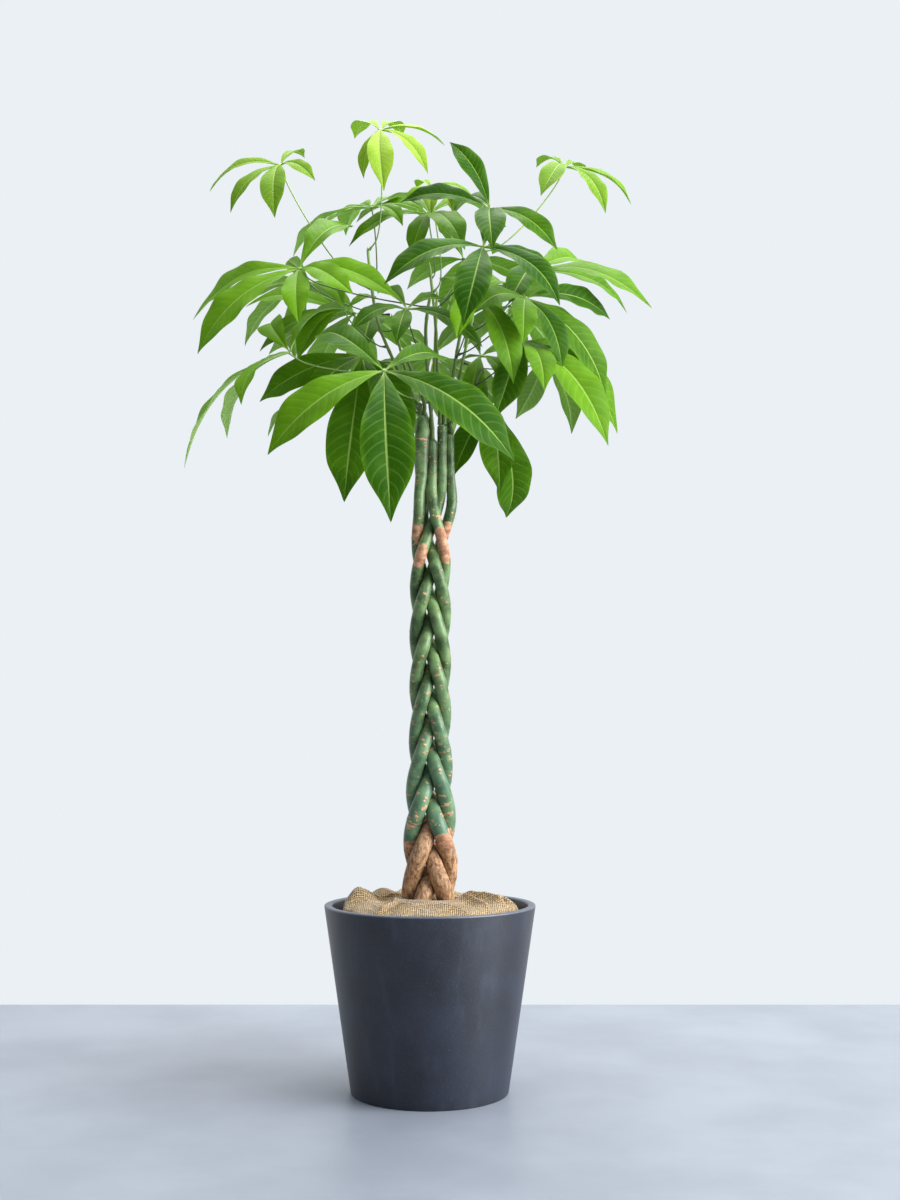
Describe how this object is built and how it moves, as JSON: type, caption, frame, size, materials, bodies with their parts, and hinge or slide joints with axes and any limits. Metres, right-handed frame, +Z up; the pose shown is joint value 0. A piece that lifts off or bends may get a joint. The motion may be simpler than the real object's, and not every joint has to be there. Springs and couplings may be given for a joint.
{
  "type": "potted money tree",
  "caption": "Plaited money tree with hand-shaped leaves, standing in a tapered round planter under a burlap soil cover.",
  "frame": {"origin": "middle of the planter's foot, on the surface that it stands on", "axes": "+Z up along the trunk, -Y towards the front of the crown, +X to the right seen from the front"},
  "size_m": [0.815, 0.7418, 1.7189],
  "materials": {
    "charcoal_resin": "matte stone-effect resin",
    "black_plastic": "thin moulded plastic",
    "potting_soil": "damp crumbly peat and bark",
    "burlap": "coarse open jute weave",
    "bark": "smooth green bark with rust scars",
    "green_shoot": "smooth green skin",
    "leaf": "satin leaf, paler and matte beneath",
    "young_leaf": "soft bright young leaf"
  },
  "bodies": {
    "root": {"planter": "charcoal_resin", "nursery_pot": "black_plastic", "soil": "potting_soil", "burlap_cover": "burlap", "stem_1": "bark", "stem_2": "bark", "stem_3": "bark", "stem_4": "bark", "stem_5": "bark", "shoot_left": "green_shoot", "shoot_front_left": "green_shoot", "shoot_centre": "green_shoot", "shoot_right": "green_shoot", "shoot_far_right": "green_shoot", "shoot_back_right": "green_shoot", "shoot_front": "green_shoot", "shoot_back": "green_shoot", "shoot_back_left": "green_shoot", "leaf_01": "young_leaf", "leaf_02": "young_leaf", "leaf_03": "young_leaf", "leaf_04": "leaf", "leaf_05": "young_leaf", "leaf_06": "leaf", "leaf_07": "leaf", "leaf_08": "leaf", "leaf_09": "leaf", "leaf_10": "leaf", "leaf_11": "leaf", "leaf_12": "leaf", "leaf_13": "leaf", "leaf_14": "leaf", "leaf_15": "leaf", "leaf_16": "leaf", "leaf_17": "leaf", "leaf_18": "leaf", "leaf_19": "leaf", "leaf_20": "leaf", "leaf_21": "leaf", "leaf_22": "leaf", "leaf_23": "leaf", "leaf_24": "leaf", "leaf_25": "leaf", "leaf_26": "leaf", "leaf_27": "leaf", "leaf_28": "leaf"}
  },
  "joints": []
}
